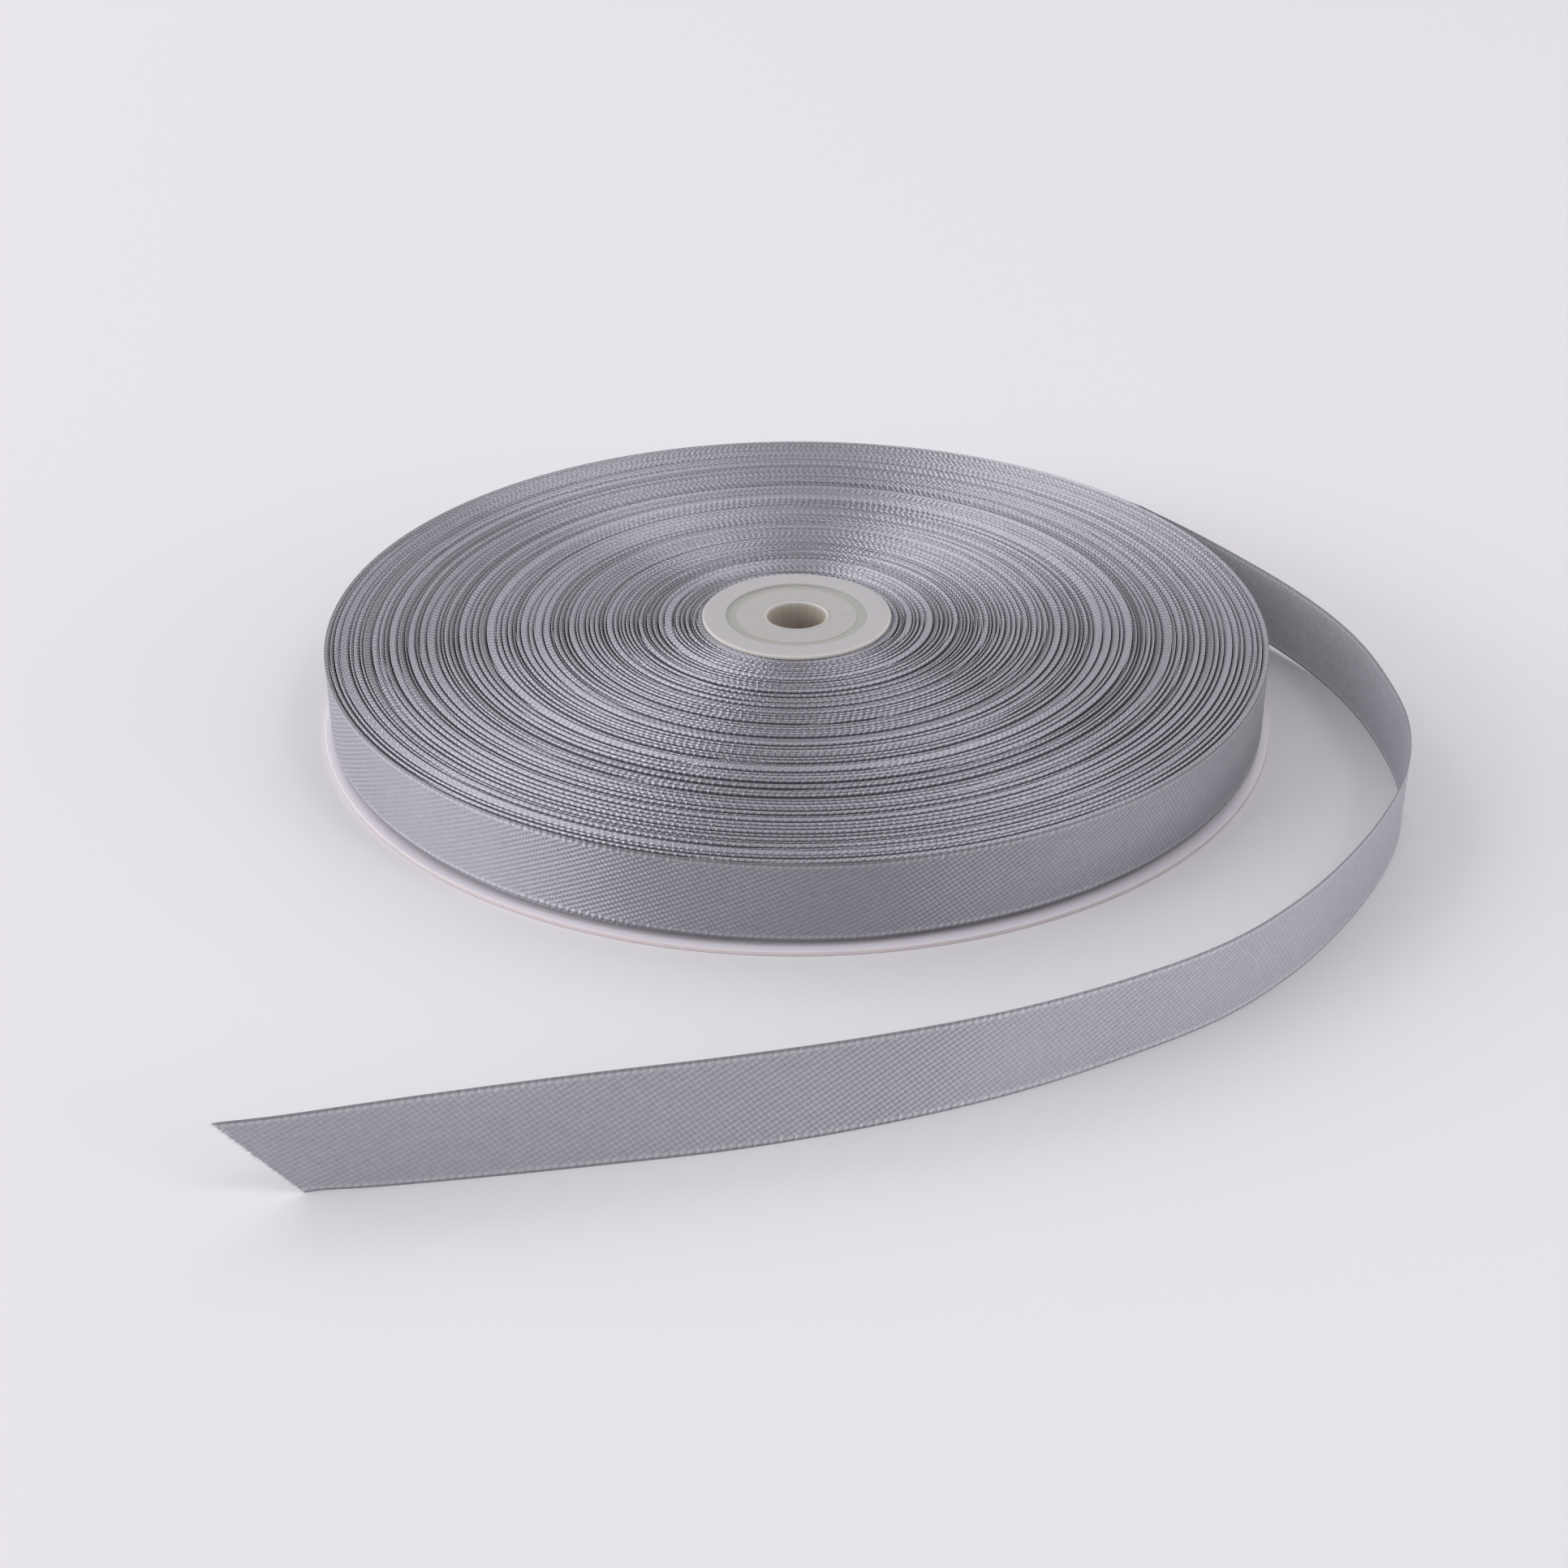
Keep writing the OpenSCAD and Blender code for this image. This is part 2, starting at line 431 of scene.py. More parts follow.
# rough and gloss_range are the roughness and how much it varies, grain and relief the noise scale and
# strength of the surface texture, and through, spread and depth how light goes into the plastic
Finish = namedtuple("Finish", "rough gloss_range grain relief through spread depth")
HUB_FINISH = Finish(0.36, 0.12, 2600.0, 0.12, 0.6, (1.0, 0.95, 0.85), 0.6 * MM)
DISC_FINISH = Finish(0.3, 0.1, 1800.0, 0.1, 0.3, (1.0, 0.95, 0.9), 0.8 * MM)
THREAD_FINISH = Finish(0.4, 0.12, 2600.0, 0.12, 0.0, (1.0, 1.0, 0.9), 1.2 * MM)
TAPE_FINISH = Finish(0.2, 0.12, 2600.0, 0.12, 0.2, (1.0, 1.0, 0.9), 1.2 * MM)


def finish_plastic(n, place, cloud, colour, finish):
    """Milky moulded plastic: its gloss varies with the cloudiness, and it has a fine surface texture."""
    bump = n.add("ShaderNodeBump")
    n.put(bump.inputs["Strength"], finish.relief)
    n.put(bump.inputs["Distance"], GRAIN_DEPTH)
    n.put(bump.inputs["Height"], n.noise(place, finish.grain, 2.0))
    n.set(
        Base_Color=colour, Roughness=n.scale_add(cloud, finish.gloss_range, finish.rough),
        Normal=bump.outputs[0], IOR=PLASTIC_IOR, Subsurface_Weight=finish.through,
        Subsurface_Radius=finish.spread, Subsurface_Scale=finish.depth)
    return n.material


def cloudy_material(name, colours, finish):
    n = Nodes(name)
    place = n.place()
    cloud = n.noise(place, 90.0, 4.0)
    return finish_plastic(n, place, cloud, n.blend(cloud, *colours), finish)


def hub_material():
    """Milky plastic. It is thin enough for the winding to tint it. Its flange's rim and the bore's lip carry
    a painted cream highlight, and a warm painted shade lies deep in the bore.
    """
    n = Nodes("hub_plastic")
    place = n.place()
    cloud = n.noise(place, 110.0, 3.0)
    radius = n.radius(place)
    groove_in, groove_out = GROOVE_IN * MM, GROOVE_OUT * MM
    in_groove = n.band(radius, groove_in - 0.4 * MM, groove_in + 0.4 * MM)
    on_flange = n.band(radius, groove_out - 0.5 * MM, groove_out + 0.5 * MM)
    rim_highlight = n.band(radius, FLANGE_R - 0.3 * MM, FLANGE_R - 0.05 * MM)
    lip = n.invert(n.band(radius, BORE_R + 0.15 * MM, BORE_R + 0.45 * MM))
    inside = n.invert(n.band(radius, BORE_R + 0.12 * MM, BORE_R + 0.2 * MM))
    down = n.invert(n.band(n.split(place)[2], HUB_TOP - 0.95 * MM, HUB_TOP - 0.75 * MM))
    colour = n.blend(in_groove, n.blend(cloud, *HUB_PLATE), HUB_GROOVE)
    colour = n.blend(on_flange, colour, n.blend(cloud, *HUB_FLANGE))
    # painted cream highlight on the flange's rim, and more faintly round the bore's lip
    colour = n.blend(rim_highlight, colour, HUB_RIM_HIGHLIGHT)
    colour = n.blend(n.times(lip, 0.6), colour, HUB_RIM_HIGHLIGHT)
    # painted warm shade on the bore's wall deep down
    colour = n.blend(n.times(inside, down), colour, HUB_BORE_SHADE)
    return finish_plastic(n, place, cloud, colour, HUB_FINISH)


def disc_material():
    """Thin white sheet, with painted shade, pinkish brown, on its cut edge."""
    n = Nodes("disc_plastic")
    place = n.place()
    cloud = n.noise(place, 60.0, 3.0)
    cut = n.band(n.radius(place), DISC_R - 0.1 * MM, DISC_R - 0.01 * MM)
    # painted shade on the cut edge
    colour = n.blend(cut, n.blend(cloud, *DISC_SHEET), DISC_EDGE_SHADE)
    return finish_plastic(n, place, cloud, colour, DISC_FINISH)


LOOSE_SATIN = ribbon_material("grey_satin", LOOSE, paint_edge_shade)
WOUND_SATIN = ribbon_material("grey_satin_wound", WOUND, paint_depth_shade)
HUB_PLASTIC = hub_material()
DISC_PLASTIC = disc_material()
THREAD = cloudy_material("thread", THREAD_GREYS, THREAD_FINISH)
TAPE_FILM = cloudy_material("tape_film", TAPE_CREAMS, TAPE_FINISH)


# ================================================================ the winding
# The ribbon moves out by one thickness a little oftener than once a turn. Where two such steps fall in
# one turn they leave a gap, so the gaps make dark lines that wind outward the other way, with bands of
# four or five tight turns between them. The bands stand at different heights.
draw = random.Random(20)

STEP_RAMP = 0.045                   # length of one step, in turns
TURN_GAP = 0.004 * MM               # least air between two turns
BUILD_UP = PACK_R - RIBBON_T / 2 - FIRST_TURN_R
STEPS = int(BUILD_UP / (RIBBON_T + TURN_GAP))
STEP = BUILD_UP / STEPS
HURRIES = [0.45, 0.3, 0.1, 0.05, 0.02]     # how early a step may come, before they are scaled to fit
LAST_STEP = 0.9                     # where in the outermost turn the last step falls

hurry = np.array([draw.choice(HURRIES) for _ in range(STEPS)])
hurry *= (STEPS - TURNS - LAST_STEP) / hurry.sum()
STEP_AT = np.cumsum(1 - hurry)      # the places of the steps, in turns: never more than one turn apart

# height of a turn with a gap inside the turn so many turns further out
GAP_HEIGHTS = [(2, 0.06 * MM), (1, 0.12 * MM), (0, -0.3 * MM), (-1, -0.12 * MM)]
MAX_RISE = 0.13 * MM                # how far a turn may stand above the winding's own height
FLANGE_DROP = 0.1 * MM              # how far the turns under the flange stand below it
CALM_FROM = FLANGE_R + 0.3 * MM     # outside here the heights vary, after a run-in of CALM_RUN
CALM_RUN = 1 * MM

BANDS = STEPS - TURNS + 4
BAND_KNOTS = 3                      # heights drawn for each turn of a band
BAND_RISES = [0.05, 0.02, -0.03, -0.08, -0.2]
BAND_HEIGHT = np.array([draw.choice(BAND_RISES) for _ in range(BAND_KNOTS * BANDS)]) * MM

SHIFT_KNOTS = 4                     # slips of the weave drawn for each turn, so that loops don't line up
LOOP_SHIFT = [draw.uniform(-0.5, 0.5) * LOOP_PITCH for _ in range(SHIFT_KNOTS * (TURNS + 2))]

# a turn's section: side offset and height up the band
HALF_T = RIBBON_T / 2
WOUND_SECTION = [
    (HALF_T, BRIM),
    (HALF_T, RIBBON_W - BRIM),
    (0, RIBBON_W),
    (-HALF_T, RIBBON_W - BRIM),
    (-HALF_T, BRIM),
    (0, 0),
]


def steps_taken(q):
    """How many steps outward the ribbon has made after q turns."""
    edges = np.stack([STEP_AT - STEP_RAMP / 2, STEP_AT + STEP_RAMP / 2], axis=1).ravel()
    edges = np.maximum.accumulate(edges)
    counts = np.repeat(np.arange(STEPS + 1), 2)[1:-1]
    taken = np.interp(q, edges, counts)
    whole = np.floor(taken)
    return whole + smooth(taken - whole)


def band_height(band):
    """Height of the band at a place along it: knots with smooth runs between them."""
    t = np.clip((band + 2) * BAND_KNOTS, 0, len(BAND_HEIGHT) - 2)
    k = t.astype(int)
    return BAND_HEIGHT[k] + (BAND_HEIGHT[k + 1] - BAND_HEIGHT[k]) * smooth((t - k - 0.3) / 0.4)


def turn_place(q):
    """(x, y, height offset, radius) on the spiral after q turns. It runs clockwise to LEAVE_ANGLE."""
    taken = steps_taken(q)
    r = FIRST_TURN_R + taken * STEP
    h = band_height(taken - q)
    for turns_on, height in GAP_HEIGHTS:
        gap = steps_taken(q + turns_on) - steps_taken(q + turns_on - 1) - 1
        h = h + height * np.clip(gap, 0, 1)
    h = np.minimum(h, MAX_RISE)
    free = np.clip((r - CALM_FROM) / CALM_RUN, 0, 1)
    h = h * free - FLANGE_DROP * (1 - free)
    a = LEAVE_ANGLE - FULL_TURN * (q - (TURNS + 1))
    return r * np.cos(a), r * np.sin(a), h, r


def run_length(x, y):
    """Length of the path up to each of its points, seen from above."""
    return np.concatenate([[0], np.cumsum(np.hypot(np.diff(x), np.diff(y)))])


def winding_piece(number, q0, q1):
    count = int(round((q1 - q0) * STATIONS)) + 1
    q = np.linspace(q0, q1, count)
    x, y, h, r = turn_place(q)
    arc = run_length(x, y)
    shift = np.interp(q * SHIFT_KNOTS, np.arange(len(LOOP_SHIFT)), LOOP_SHIFT)
    points = np.zeros((count, len(WOUND_SECTION), 3))
    uv = np.zeros((count, len(WOUND_SECTION), 2))
    for i, (side, up) in enumerate(WOUND_SECTION):
        points[:, i, 0] = x * (1 + side / r)
        points[:, i, 1] = y * (1 + side / r)
        points[:, i, 2] = PACK_Z + h + up
        uv[:, i, 0] = arc + shift
        uv[:, i, 1] = up
    obj = new_object(f"ribbon_winding_{number}", grid_mesh("winding", [(points, uv, False)]))
    paint(obj, WOUND_SATIN)
    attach(obj, "reel")
    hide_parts("ribbon_pack")


WINDING_PIECES = 5
for piece in range(WINDING_PIECES):
    winding_piece(piece + 1, TURNS * piece / WINDING_PIECES, TURNS * (piece + 1) / WINDING_PIECES)


# ================================================================ the free end
# x, y, height above the floor, lean in degrees: the route in the CAD's source
TAIL_ROUTE = [
    (62.9, 45.7, 2, 0),
    (70.5, 35.3, 1.8, 0),
    (77.4, 25.8, 1.2, 0),
    (83.6, 16.6, 0.4, -1),
    (88.5, 7, 0, -1),
    (92.1, -4.5, 0, -1),
    (94.2, -17, 0, 0),
    (94.6, -31, 0, 0),
    (92, -44.5, 0, 0),
    (86.8, -57, 0, 0),
    (79, -70, 0, 0),
    (69.5, -82.3, 0, 0),
    (58, -93.2, 0, 0),
    (44, -102.1, 0, 1),
    (28, -110.3, 0, 5),
    (11, -116.7, 0, 10),
    (-7, -121.7, 0, 14),
    (-25.4, -125.1, 0, 12),
    (-43, -127.9, 0, 6),
    (-61, -130.3, 0, -3),
    (-70, -131.8, 0, -4),
]
TAIL_STEPS = 8                      # points from each point of the route to the next
END_CUT = 9.8 * MM                  # how far the slanted cut runs along the ribbon
CUT_RUN = 3 * END_CUT               # the stretch over which the sections slant into the cut

# half thickness of the band at heights from its edge to its middle: the selvedge is a little thicker
SELVEDGE_T = HALF_T + 0.02 * MM
EDGE_PROFILE = [
    (HALF_T * 0.8, BRIM),
    (SELVEDGE_T, 0.12 * MM),
    (SELVEDGE_T, 0.45 * MM),
    (HALF_T * 0.9, SELVEDGE_W),
    (HALF_T, 1.1 * MM),
]
MIDDLE_SHARES = (0.25, 0.5, 0.75)

FRAY_COUNT = 110
FRAY_LENGTHS = [0.3, 0.45, 0.6, 0.9]
FRAY_R = 0.042 * MM
FRAY_STATIONS = 6
FRAY_SIDES = 5
FRAY_FLOOR = 0.01 * MM              # lowest that a loose thread may hang
CORNER_SHARE = 0.93                 # the cut's upper corner, where the threads are CORNER_GROWTH times longer
CORNER_GROWTH = 1.6


def route_line(route, steps):
    """Catmull-Rom points through the route, with its ends carried on straight."""
    p = np.array(route, float)
    p = np.vstack([2 * p[0] - p[1], p, 2 * p[-1] - p[-2]])
    line = []
    for i in range(1, len(p) - 2):
        a, b, c, d = p[i - 1:i + 3]
        for k in range(steps):
            t = k / steps
            bend = (2 * a - 5 * b + 4 * c - d) * t * t + (3 * b - a - 3 * c + d) * t ** 3
            line.append(0.5 * (2 * b + (c - a) * t + bend))
    line.append(p[-2])
    return np.array(line)


def loose_thread(root, heading, curl, length):
    """A short curling thread that thins towards its tip."""
    side = heading.cross(Vector((0, 0, 1))).normalized()
    over = side.cross(heading)
    points = np.zeros((FRAY_STATIONS, FRAY_SIDES, 3))
    for i in range(FRAY_STATIONS):
        t = i / (FRAY_STATIONS - 1)
        centre = root + heading * length * (t - 0.45) + curl * length * t * t
        thick = FRAY_R * (1 - 0.5 * t)
        for k in range(FRAY_SIDES):
            a = FULL_TURN * k / FRAY_SIDES
            points[i, k] = centre + (side * math.cos(a) + over * math.sin(a)) * thick
    points[:, :, 2] = np.maximum(points[:, :, 2], FRAY_FLOOR)
    return points


def frays(edge_low, edge_high, along, outward):
    """Loose ends of warp and weft thread that stand out of the slanted cut."""
    shells = []
    for _ in range(FRAY_COUNT):
        share = draw.uniform(0.02, 0.98)
        root = edge_low + (edge_high - edge_low) * share + outward * draw.uniform(-0.06, 0.14) * MM
        length = draw.choice(FRAY_LENGTHS) * MM * (CORNER_GROWTH if share > CORNER_SHARE else 1)
        lean = Vector((draw.uniform(-0.25, 0.25), draw.uniform(-0.35, 0.35), draw.uniform(-0.45, 0.3)))
        curl = Vector((draw.uniform(-1, 1), draw.uniform(-1, 1), draw.uniform(-1, 0.6))) * 0.25
        shells.append((loose_thread(root, (along + lean).normalized(), curl, length), None, False))
    obj = new_object("ribbon_frays", grid_mesh("frays", shells))
    paint(obj, THREAD)
    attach(obj, "reel")
    return obj


def free_end_line():
    """Rows of x, y, height and lean: the outermost turn, settling to the winding's height, then the route."""
    q = np.linspace(TURNS, TURNS + 1, STATIONS + 1)[:-1]
    x, y, h, _ = turn_place(q)
    settle = np.clip((q - TURNS) / 0.5, 0, 1)
    wound = np.stack([x, y, PACK_Z + h * (1 - settle), np.zeros_like(q)], axis=1)
    tail = route_line(TAIL_ROUTE, TAIL_STEPS)
    tail[:, :3] *= MM
    tail[:, 2] = np.maximum(tail[:, 2], 0)
    return np.vstack([wound, tail])


def free_end_section():
    """(side offset, height) round the band, from its lower edge up one side and down the other."""
    middle = [(HALF_T, RIBBON_W * share) for share in MIDDLE_SHARES]
    upper = [(half, RIBBON_W - height) for half, height in EDGE_PROFILE[::-1]]
    profile = EDGE_PROFILE + middle + upper
    return [(0, 0)] + [(-half, height) for half, height in profile] + [(0, RIBBON_W)] + profile[::-1]


def free_end():
    """The outermost turn and the free end, one band: its section is finer than the inner turns'."""
    line = free_end_line()
    step = np.gradient(line[:, :2], axis=0)
    run = step / np.linalg.norm(step, axis=1)[:, None]
    level = np.zeros((len(run), 1))
    inward = np.concatenate([run[:, 1:], -run[:, :1], level], axis=1)
    along = np.concatenate([run, level], axis=1)
    lean = np.radians(line[:, 3])[:, None]
    up = inward * np.sin(lean) + UP * np.cos(lean)
    side = inward * np.cos(lean) - UP * np.sin(lean)
    foot = line[:, :3] + UP * np.abs(side[:, 2:]) * HALF_T
    arc = run_length(line[:, 0], line[:, 1])
    cut = END_CUT * np.clip(1 - (arc[-1] - arc) / CUT_RUN, 0, 1)

    section = free_end_section()
    points = np.zeros((len(line), len(section), 3))
    uv = np.zeros((len(line), len(section), 2))
    for i, (out, high) in enumerate(section):
        back = cut * (1 - high / RIBBON_W)
        points[:, i] = foot + up * high + side * out - along * back[:, None]
        uv[:, i, 0] = arc - back
        uv[:, i, 1] = high
    obj = new_object("ribbon_free_end", grid_mesh("free_end", [(points, uv, False)]))
    paint(obj, LOOSE_SATIN)
    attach(obj, "reel")
    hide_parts("ribbon_tail")
    cut_low, cut_high = Vector(points[-1][0]), Vector(points[-1][len(section) // 2])
    loose = frays(cut_low, cut_high, Vector(along[-1]), Vector(-inward[-1]))


free_end()


# ================================================================ hub, disc and tape
HUB_SEGMENTS = 528
DISC_SEGMENTS = 360
COLLAR_SEGMENTS = 180
TONGUE_SEGMENTS = 44
BORE_RIBS = 66
BORE_RIB_DEPTH = 0.12 * MM

# faint moulding marks on the end plate: distance from the axis, angle, radius, in millimetres and degrees
PLATE_MARKS = [(7.4, -44, 0.7), (7.9, 0, 0.4), (8.3, 118, 0.7)]
MARK_DEPTH = 0.09 * MM
MARK_BLUR = 0.12                    # millimetres either side of a mark's radius
GATE_MARK = (6.4 * MM, 9.1 * MM, math.radians(177))     # a wavy ridge: from, to, angle
GATE_WAVE = (0.12 * MM, 0.45 * MM)  # how far it sways, and how far along it each radian of the sway is
GATE_W = 0.13 * MM
GATE_FADE = 0.4 * MM

TONGUES = 4
TONGUE_SLOT = math.radians(6.8)
WEBS = 6
WEB_LOW = 0.9 * MM
WEB_HIGH = 7.9 * MM
WEB_OVERLAP = 0.3 * MM              # how far a web runs into the tube and into the plug

DISC_LOW = 1.0                      # underside at the hub, thickness and sag in millimetres
DISC_T = 0.7
DISC_SAG = 1.0
DISC_STEPS = 24

TAPE_SWEEP = math.radians(95)
TAPE_Z = (3.0, 13.7)                # millimetres
TAPE_GAP = 0.02 * MM
TAPE_T = 0.08 * MM
TOOTH_PITCH = 0.9                   # millimetres
TOOTH_DEPTH = 0.7 * MM
TAPE_ROWS = 49
TAPE_COLUMNS = 61


def rounded(corners, steps=4):
    """Outline in (radius, height), in metres, from millimetre corners (radius, height, rounding)."""
    points = []
    for i, (r, z, rounding) in enumerate(corners):
        here = np.array([r, z])
        if rounding == 0:
            points.append(here)
            continue
        before = np.array(corners[i - 1][:2]) - here
        after = np.array(corners[(i + 1) % len(corners)][:2]) - here
        start = here + before / np.linalg.norm(before) * rounding
        end = here + after / np.linalg.norm(after) * rounding
        for t in np.linspace(0, 1, steps + 1):
            points.append((1 - t) ** 2 * start + 2 * t * (1 - t) * here + t ** 2 * end)
    return np.array(points) * MM


def turned(outline, start=0.0, sweep=FULL_TURN, segments=HUB_SEGMENTS, shape=None):
    """Shell of an outline turned about the axis. shape(radius, height, angle) gives the radius and height."""
    ring = sweep == FULL_TURN
    angle = start + sweep * np.arange(segments if ring else segments + 1) / segments
    angle = angle[:, None] + np.zeros(len(outline))
    radius = outline[:, 0] + np.zeros_like(angle)
    height = outline[:, 1] + np.zeros_like(angle)
    if shape is not None:
        radius, height = shape(radius, height, angle)
    points = np.stack([radius * np.cos(angle), radius * np.sin(angle), height], axis=-1)
    return points, None, ring


def bore_ribs(radius, height, angle):
    """Fine ribs cut into the bore's wall."""
    on_bore = radius < BORE_R + 0.01 * MM
    return radius + on_bore * BORE_RIB_DEPTH * (0.5 - 0.5 * np.cos(BORE_RIBS * angle)), height


def gate_ridge(x, y):
    """Share of the gate mark's full height at a place on the plate."""
    near, far, bearing = GATE_MARK
    sway, pitch = GATE_WAVE
    along = x * math.cos(bearing) + y * math.sin(bearing)
    aside = y * math.cos(bearing) - x * math.sin(bearing) - sway * np.sin((along - near) / pitch)
    ends = smooth((along - near) / GATE_FADE) * smooth((far - along) / GATE_FADE)
    return np.exp(-(aside / GATE_W) ** 2) * ends


def end_plate(radius, height, angle):
    """The ribbed bore and the marks on the plate."""
    x, y = radius * np.cos(angle), radius * np.sin(angle)
    on_plate = np.abs(height - PLATE_Z) < 0.01 * MM
    for distance, bearing, size in PLATE_MARKS:
        a = math.radians(bearing)
        off = np.hypot(x - distance * MM * math.cos(a), y - distance * MM * math.sin(a)) / MM
        dip = 1 - smooth((off - size + MARK_BLUR) / (2 * MARK_BLUR))
        height = height - on_plate * MARK_DEPTH * dip
    height = height + on_plate * MARK_DEPTH * gate_ridge(x, y)
    return bore_ribs(radius, height, angle)


def part_object(name, node, body, material, shells):
    obj = new_object(name, grid_mesh(name, shells))
    paint(obj, material)
    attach(obj, body)
    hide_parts(node)


def make_hub_upper():
    """Flange, ring groove, recessed end plate, barrel and the upper stretch of the ribbed bore tube."""
    tube_end = TUBE_SPLIT + 0.1
    plate = [(r, PLATE, 0) for r in np.arange(9.9, 5.6, -0.11)]
    outline = rounded([
        (BORE, tube_end, 0.1), (TUBE, tube_end, 0.15),
        (TUBE, UNDER_PLATE, 0.3), (BARREL_IN, UNDER_PLATE, 0.3),
        (BARREL_IN, SNAP + 1.2, 0.1), (SNAP_GROOVE, SNAP + 0.7, 0.1),
        (SNAP_GROOVE, SNAP - 0.7, 0.1), (BARREL_IN, SNAP - 1.2, 0.1),
        (BARREL_IN, BARREL_LOW, 0.15), (BARREL, BARREL_LOW, 0.2),
        (BARREL, UNDER_FLANGE, 0.2), (FLANGE, UNDER_FLANGE, 0.1),
        (FLANGE, FLANGE_TOP, 0.2), (GROOVE_OUT, FLANGE_TOP, 0.14),
        (GROOVE_OUT, GROOVE_FLOOR, 0.1), (GROOVE_IN, GROOVE_FLOOR, 0.03),
        (GROOVE_IN, PLATE, 0.03)] + plate)
    lip = [(5.55, 15.06), (5.45, 15.11), (5.35, 15.15)]
    quarter = np.linspace(0, math.pi / 2, 8)
    mouth = [(BORE + 0.3 * (1 - math.sin(t)), 15.16 - 0.5 * (1 - math.cos(t))) for t in quarter]
    wall = [(BORE, z) for z in np.linspace(14.4, 8.4, 6)]
    outline = np.vstack([outline, np.array(lip + mouth + wall) * MM])
    shell = turned(outline, shape=end_plate)
    part_object("hub_upper_half", "hub_upper", "reel", HUB_PLASTIC, [shell])


def plug_web(angle):
    """Web between the bore tube and the plug, thinner towards its top."""
    along = np.linspace(TUBE * MM - WEB_OVERLAP, PLUG_IN * MM + WEB_OVERLAP, 5)
    shoulder = WEB_HIGH - 0.2 * MM
    section = [
        (-0.42, WEB_LOW), (0.42, WEB_LOW), (0.34, shoulder),
        (0.2, WEB_HIGH), (-0.2, WEB_HIGH), (-0.34, shoulder)]
    points = np.zeros((len(along), len(section), 3))
    for i, (side, z) in enumerate(section):
        points[:, i, 0] = along * math.cos(angle) - side * MM * math.sin(angle)
        points[:, i, 1] = along * math.sin(angle) + side * MM * math.cos(angle)
        points[:, i, 2] = z
    return points, None, False


def plug_tongue(number):
    """One of the tongues that snap into the barrel, with a bead round its outside."""
    bead = PLUG + 0.15
    outline = rounded([
        (PLUG_IN, 7.5, 0), (PLUG, 7.5, 0), (PLUG, SNAP - 0.9, 0.1), (bead, SNAP - 0.5, 0.1),
        (bead, SNAP + 0.5, 0.1), (PLUG, SNAP + 0.9, 0.1), (PLUG - 0.4, PLUG_TOP, 0.15),
        (PLUG_IN, PLUG_TOP, 0.15)])
    start = FULL_TURN * (number + 0.5) / TONGUES + TONGUE_SLOT / 2
    return turned(outline, start, FULL_TURN / TONGUES - TONGUE_SLOT, TONGUE_SEGMENTS)


def make_hub_lower():
    """Flange, ribbed bore tube, and the plug: a ring carrying four tongues, tied to the tube by six webs."""
    flange = rounded([
        (BORE, 0, 0.25), (GROOVE_IN, 0, 0.1), (GROOVE_IN, 0.3, 0.1), (GROOVE_OUT, 0.3, 0.1),
        (GROOVE_OUT, 0, 0.1), (FLANGE, 0, 0.2), (FLANGE, LOWER_FLANGE, 0.12), (TUBE, LOWER_FLANGE, 0.25),
        (TUBE, TUBE_SPLIT, 0.15), (BORE, TUBE_SPLIT, 0.12)])
    collar = rounded([(PLUG_IN, 0.9, 0), (PLUG, 0.9, 0), (PLUG, 7.65, 0.08), (PLUG_IN, 7.65, 0.08)])
    shells = [turned(flange, shape=bore_ribs), turned(collar, segments=COLLAR_SEGMENTS)]
    shells += [plug_tongue(number) for number in range(TONGUES)]
    shells += [plug_web(FULL_TURN * number / WEBS) for number in range(WEBS)]
    part_object("hub_lower_half", "hub_lower", "reel", HUB_PLASTIC, shells)


def make_side_disc():
    """Thin sheet, flat where the hub holds it, sagging from there to its rim."""
    edge = DISC_R / MM
    share = np.linspace(0, 1, DISC_STEPS)[:-1]
    run = [(DISC_CLAMP + (edge - DISC_CLAMP) * t, DISC_LOW - DISC_SAG * t * t) for t in share]
    under = [(DISC_HOLE, DISC_LOW, 0.1)] + [(r, z, 0) for r, z in run] + [(edge, 0, 0.15)]
    over = [(edge, DISC_T, 0.12)] + [(r, z + DISC_T, 0) for r, z in run[::-1]]
    outline = rounded(under + over + [(DISC_HOLE, DISC_LOW + DISC_T, 0.1)])
    outline[:, 1] = np.maximum(outline[:, 1], 0)
    shell = turned(outline, segments=DISC_SEGMENTS)
    part_object("side_disc", "base_disc", "side_disc", DISC_PLASTIC, [shell])


def make_start_tape():
    """Tape tab on the barrel, its ends cut to teeth by a dispenser."""
    heights = np.linspace(*TAPE_Z, TAPE_ROWS)
    teeth = np.abs((heights - TAPE_Z[0]) / TOOTH_PITCH % 1 - 0.5) * TOOTH_DEPTH / BARREL_R
    inner = BARREL_R + TAPE_GAP
    outer = inner + TAPE_T
    radius = np.concatenate([np.full(TAPE_ROWS, outer), np.full(TAPE_ROWS, inner)])
    height = np.concatenate([heights, heights[::-1]]) * MM
    inset = np.concatenate([teeth, teeth[::-1]])
    share = np.linspace(0, 1, TAPE_COLUMNS)[:, None]
    angle = share * TAPE_SWEEP + inset * (1 - 2 * share)
    height = height + np.zeros_like(angle)
    points = np.stack([radius * np.cos(angle), radius * np.sin(angle), height], axis=-1)
    part_object("tape_tab", "start_tape", "reel", TAPE_FILM, [(points, None, False)])


make_hub_upper()
make_hub_lower()
make_side_disc()
make_start_tape()


# ================================================================ floor and light
FLOOR_R = 1.4
FLOOR_SIDES = 128
FLOOR_Z = -0.05 * MM
FLOOR_COLOUR = (0.78, 0.765, 0.80, 1)

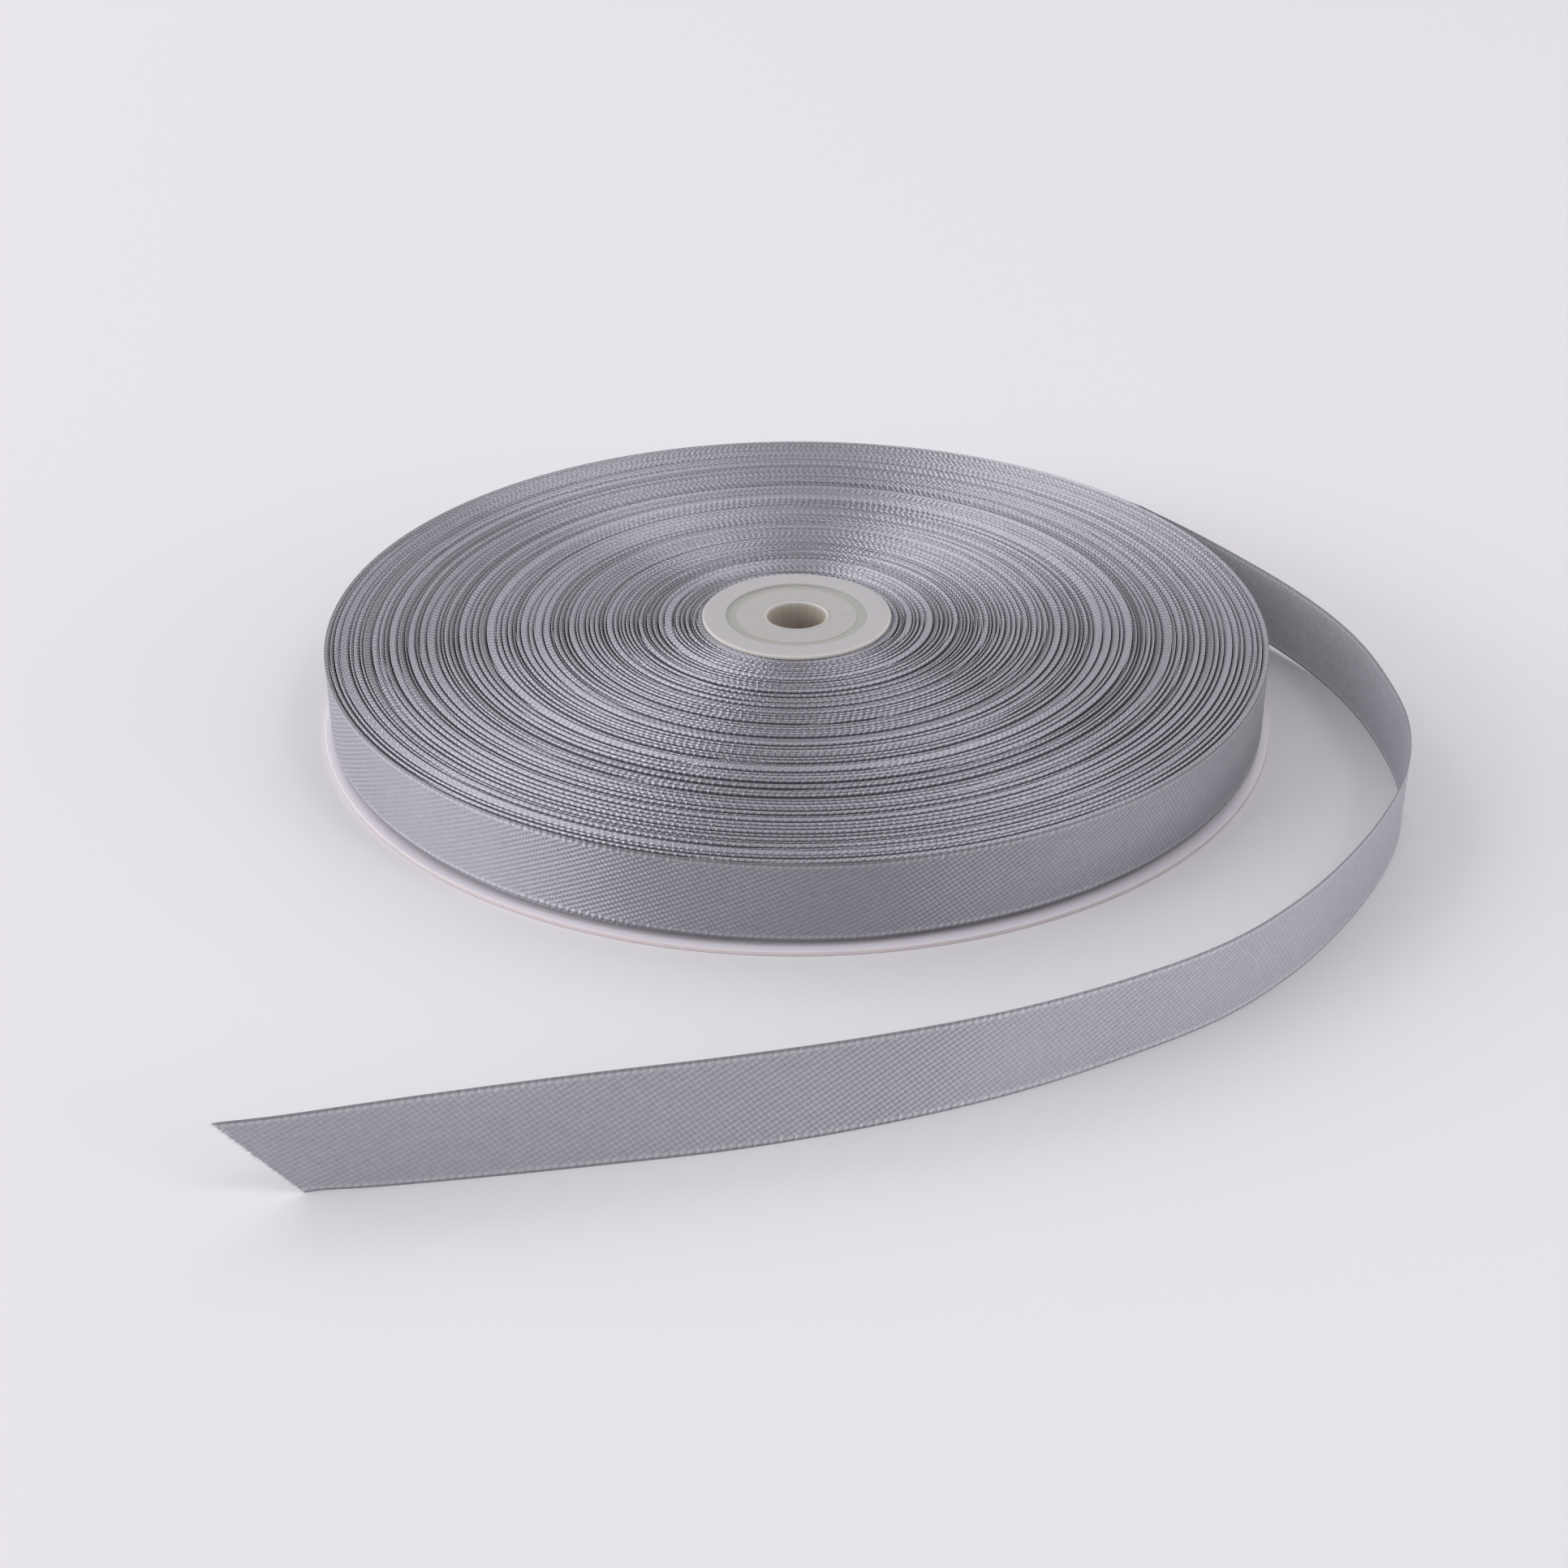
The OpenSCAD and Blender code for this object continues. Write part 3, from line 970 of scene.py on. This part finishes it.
# where each soft panel hangs (azimuth and height in degrees), its width and height in metres, its watts
PANELS = {
    "left_low": (180, 12, 3.2, 0.8, 27.2),
    "left_high": (180, 40, 3.2, 1.6, 6.8),
    "left_front": (210, 20, 1.6, 1.0, 21.6),
    "left_back": (135, 35, 1.6, 1.6, 9.6),
    "back": (75, 38, 1.6, 1.6, 6.4),
    "right": (0, 12, 2.0, 0.6, 8.8),
    "front_low": (330, 12, 0.8, 0.6, 7.2),
    "front_middle": (330, 38, 0.6, 1.8, 8.0),
    "front_high": (324, 56, 0.6, 0.6, 4.8),
}
PANEL_DISTANCE = 2.8
SURROUND = 0.575                    # light from all round
BACKDROP = 0.8                      # how bright the surroundings look to the camera
SURROUND_COLOUR = (1, 0.98, 1, 1)


def make_floor():
    mesh = bpy.data.meshes.new("floor")
    turns = [FULL_TURN * k / FLOOR_SIDES for k in range(FLOOR_SIDES)]
    rim = [(FLOOR_R * math.cos(a), FLOOR_R * math.sin(a), 0) for a in turns]
    mesh.from_pydata(rim, [], [range(FLOOR_SIDES)])
    floor = new_object("floor", mesh)
    floor.location.z = FLOOR_Z
    n = Nodes("floor")
    n.set(Base_Color=FLOOR_COLOUR, Roughness=1.0, Specular_IOR_Level=0.0)
    paint(floor, n.material)


def make_world():
    """Even light from all round, a little brighter where the camera sees it directly."""
    world = bpy.data.worlds.new("studio")
    world.use_nodes = True
    tree = world.node_tree
    background = tree.nodes["Background"]
    background.inputs["Color"].default_value = SURROUND_COLOUR
    seen = tree.nodes.new("ShaderNodeMath")
    seen.operation = "MULTIPLY_ADD"
    tree.links.new(tree.nodes.new("ShaderNodeLightPath").outputs["Is Camera Ray"], seen.inputs[0])
    seen.inputs[1].default_value = BACKDROP - SURROUND
    seen.inputs[2].default_value = SURROUND
    tree.links.new(seen.outputs[0], background.inputs["Strength"])
    bpy.context.scene.world = world


def hang_panel(name, azimuth, height, wide, high, power):
    """Soft panel that faces the reel and isn't seen itself."""
    data = bpy.data.lights.new(name, "AREA")
    data.shape = "RECTANGLE"
    data.size, data.size_y = wide, high
    data.energy = power
    turn, rise = math.radians(azimuth), math.radians(height)
    at = Vector((math.cos(rise) * math.cos(turn), math.cos(rise) * math.sin(turn), math.sin(rise)))
    light = new_object(name, data)
    light.location = at * PANEL_DISTANCE
    light.rotation_euler = (-light.location).to_track_quat("-Z", "Y").to_euler()
    light.visible_camera = False


make_floor()
make_world()
for name, panel in PANELS.items():
    hang_panel(name, *panel)
bpy.context.scene.view_settings.view_transform = "Standard"
